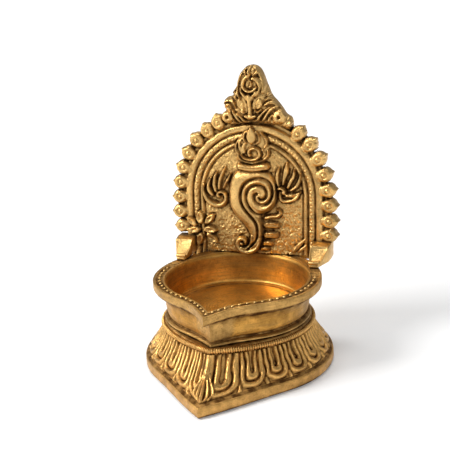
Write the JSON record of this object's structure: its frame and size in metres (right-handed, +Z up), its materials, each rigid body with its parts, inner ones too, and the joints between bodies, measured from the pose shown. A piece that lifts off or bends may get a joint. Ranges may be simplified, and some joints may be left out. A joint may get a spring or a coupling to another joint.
{
  "type": "brass oil lamp",
  "caption": "Low brass oil lamp: a hollow pointed pedestal, a spouted oil bowl clamped on it, and an arched relief back plate that lifts off the rim on two pegs.",
  "frame": {"origin": "centre of the footprint, on the surface the lamp stands on", "axes": "+Z up, -Y towards the bowl's spout, +X to the right of someone who faces the relief of the back plate"},
  "size_m": [0.09, 0.11, 0.1345],
  "materials": {
    "cast_brass": "cast, buffed on the high spots with dark patina left in the recesses",
    "turned_brass": "turned and buffed, amber oil stain inside",
    "brass_rod": "bright drawn rod and sheet",
    "plated_steel": "dull plated"
  },
  "bodies": {
    "lamp_base": {"pedestal": "cast_brass", "bowl": "turned_brass", "clamp_stud": "brass_rod", "clamp_washer": "brass_rod", "clamp_nut": "plated_steel"},
    "plate": {"back_plate": "cast_brass", "left_peg": "brass_rod", "right_peg": "brass_rod"}
  },
  "joints": [
    {"name": "plate_lift", "type": "slide", "parent": "lamp_base", "child": "plate", "axis": [0, 0, 1], "range_m": [0, 0.03]}
  ]
}
